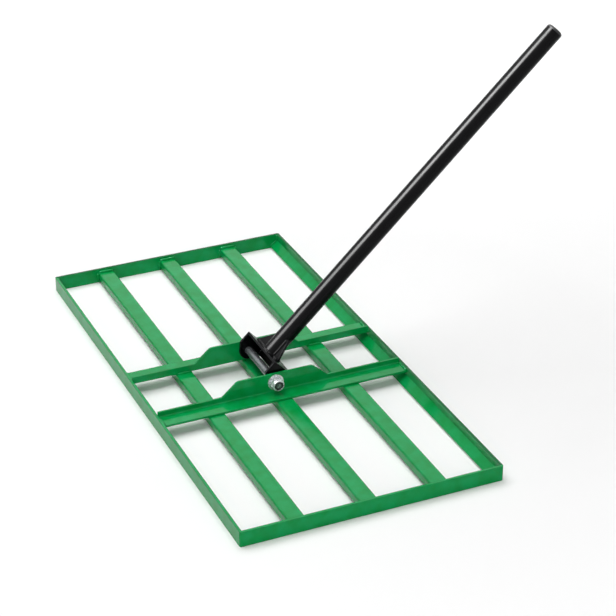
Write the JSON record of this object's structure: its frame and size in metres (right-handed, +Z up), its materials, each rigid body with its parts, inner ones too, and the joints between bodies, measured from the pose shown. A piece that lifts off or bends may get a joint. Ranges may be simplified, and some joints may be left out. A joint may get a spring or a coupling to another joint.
{
  "type": "lawn leveling rake",
  "caption": "Head of a lawn leveling rake: a welded rectangular frame of flat bars with tube slats and a tube handle that tilts on a bolt between eared crossbars.",
  "frame": {"origin": "on the ground, below the middle of the whole part's box", "axes": "+X across the frame towards the handle, +Y along the frame's long edges, +Z up"},
  "size_m": [0.6476, 0.762, 0.4816],
  "materials": {
    "frame_paint": "glossy powder coat",
    "handle_paint": "glossy powder coat",
    "plug_plastic": "satin moulded plastic",
    "zinc": "bright zinc plating",
    "nylon": "matt nylon"
  },
  "bodies": {
    "frame": {"front_rail": "frame_paint", "rear_rail": "frame_paint", "left_end_rail": "frame_paint", "right_end_rail": "frame_paint", "front_slat": "frame_paint", "middle_slat": "frame_paint", "rear_slat": "frame_paint", "left_crossbar": "frame_paint", "right_crossbar": "frame_paint", "pivot_bolt": "zinc", "outer_washers": "zinc", "inner_washers": "zinc", "lock_nut": "zinc", "nut_insert": "nylon"},
    "handle": {"yoke": "handle_paint", "left_gusset": "handle_paint", "right_gusset": "handle_paint", "handle_tube": "handle_paint", "end_plug": "plug_plastic"}
  },
  "joints": [
    {"name": "handle_tilt", "type": "hinge", "parent": "frame", "child": "handle", "pos_m": [-0.14252, -0.02, 0.0345], "axis": [0, -1, 0], "range_deg": [-15.75, 108.25]}
  ]
}
